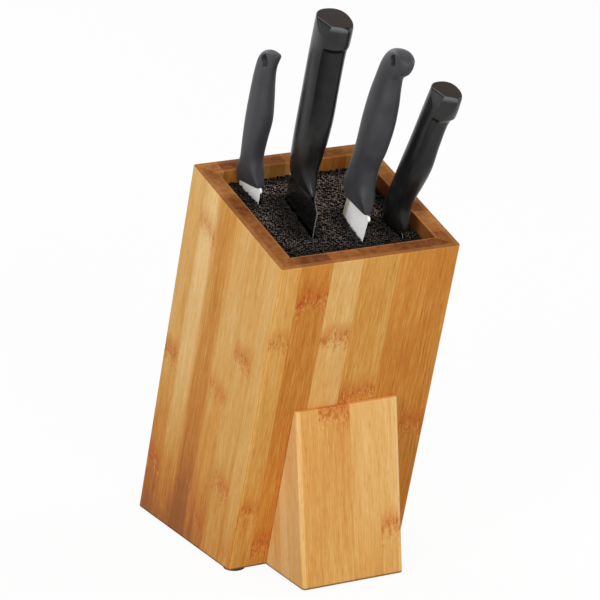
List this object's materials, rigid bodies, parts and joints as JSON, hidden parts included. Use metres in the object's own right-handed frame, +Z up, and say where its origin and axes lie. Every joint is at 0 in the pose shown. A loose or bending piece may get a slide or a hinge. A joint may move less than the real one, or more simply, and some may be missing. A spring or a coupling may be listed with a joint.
{
  "type": "knife block",
  "caption": "Square bamboo knife block leaning on a front wedge, with a lift-out insert of upright bristles that holds ceramic and steel kitchen knives by their blades.",
  "frame": {"origin": "on the surface the block stands on, under the middle of the whole assembly's footprint", "axes": "+Z up; -Y to the front, where the wedge is and where the tube and the knives lean; +X to the right, seen from the front"},
  "size_m": [0.125, 0.2127, 0.3682],
  "materials": {
    "bamboo": "satin lacquered bamboo in upright glued staves, honey to brown",
    "pale_bamboo": "satin lacquered bamboo, paler honey",
    "foot_rubber": "matte black",
    "zinc_steel": "zinc plated",
    "tray_plastic": "matte black",
    "bristle_plastic": "black nylon monofilament, satin",
    "white_ceramic": "ground white ceramic, satin",
    "blade_steel": "polished blade steel",
    "soft_grip": "soft-touch, matte charcoal grey",
    "hard_grip": "satin near-black"
  },
  "bodies": {
    "block": {"front_panel": "bamboo", "right_panel": "bamboo", "back_panel": "bamboo", "left_panel": "bamboo", "floor_board": "bamboo", "wedge_screw_1": "zinc_steel", "wedge_screw_2": "zinc_steel", "support_wedge": "pale_bamboo", "foot_front_left": "foot_rubber", "foot_front_right": "foot_rubber", "foot_back_left": "foot_rubber", "foot_back_right": "foot_rubber", "foot_wedge_left": "foot_rubber", "foot_wedge_right": "foot_rubber"},
    "insert": {"bristle_tray": "tray_plastic", "bristle_bank_1": "bristle_plastic", "bristle_bank_2": "bristle_plastic", "bristle_bank_3": "bristle_plastic", "bristle_bank_4": "bristle_plastic", "bristle_bank_5": "bristle_plastic"},
    "paring_knife": {"paring_knife_blade": "white_ceramic", "paring_knife_handle": "soft_grip"},
    "chef_knife": {"chef_knife_blade": "blade_steel", "chef_knife_handle": "hard_grip"},
    "utility_knife": {"utility_knife_blade": "white_ceramic", "utility_knife_handle": "soft_grip"},
    "slicing_knife": {"slicing_knife_blade": "blade_steel", "slicing_knife_handle": "hard_grip"}
  },
  "joints": [
    {"name": "insert_lift", "type": "slide", "parent": "block", "child": "insert", "axis": [0, -0.2924, 0.9563], "range_m": [0, 0.215]},
    {"name": "paring_knife_pull", "type": "slide", "parent": "insert", "child": "paring_knife", "axis": [0, -0.2756, 0.9613], "range_m": [0, 0.08]},
    {"name": "chef_knife_pull", "type": "slide", "parent": "insert", "child": "chef_knife", "axis": [0, -0.309, 0.9511], "range_m": [0, 0.2]},
    {"name": "utility_knife_pull", "type": "slide", "parent": "insert", "child": "utility_knife", "axis": [0.0348, -0.3582, 0.933], "range_m": [0, 0.14]},
    {"name": "slicing_knife_pull", "type": "slide", "parent": "insert", "child": "slicing_knife", "axis": [0.0779, -0.4058, 0.9106], "range_m": [0, 0.16]}
  ]
}
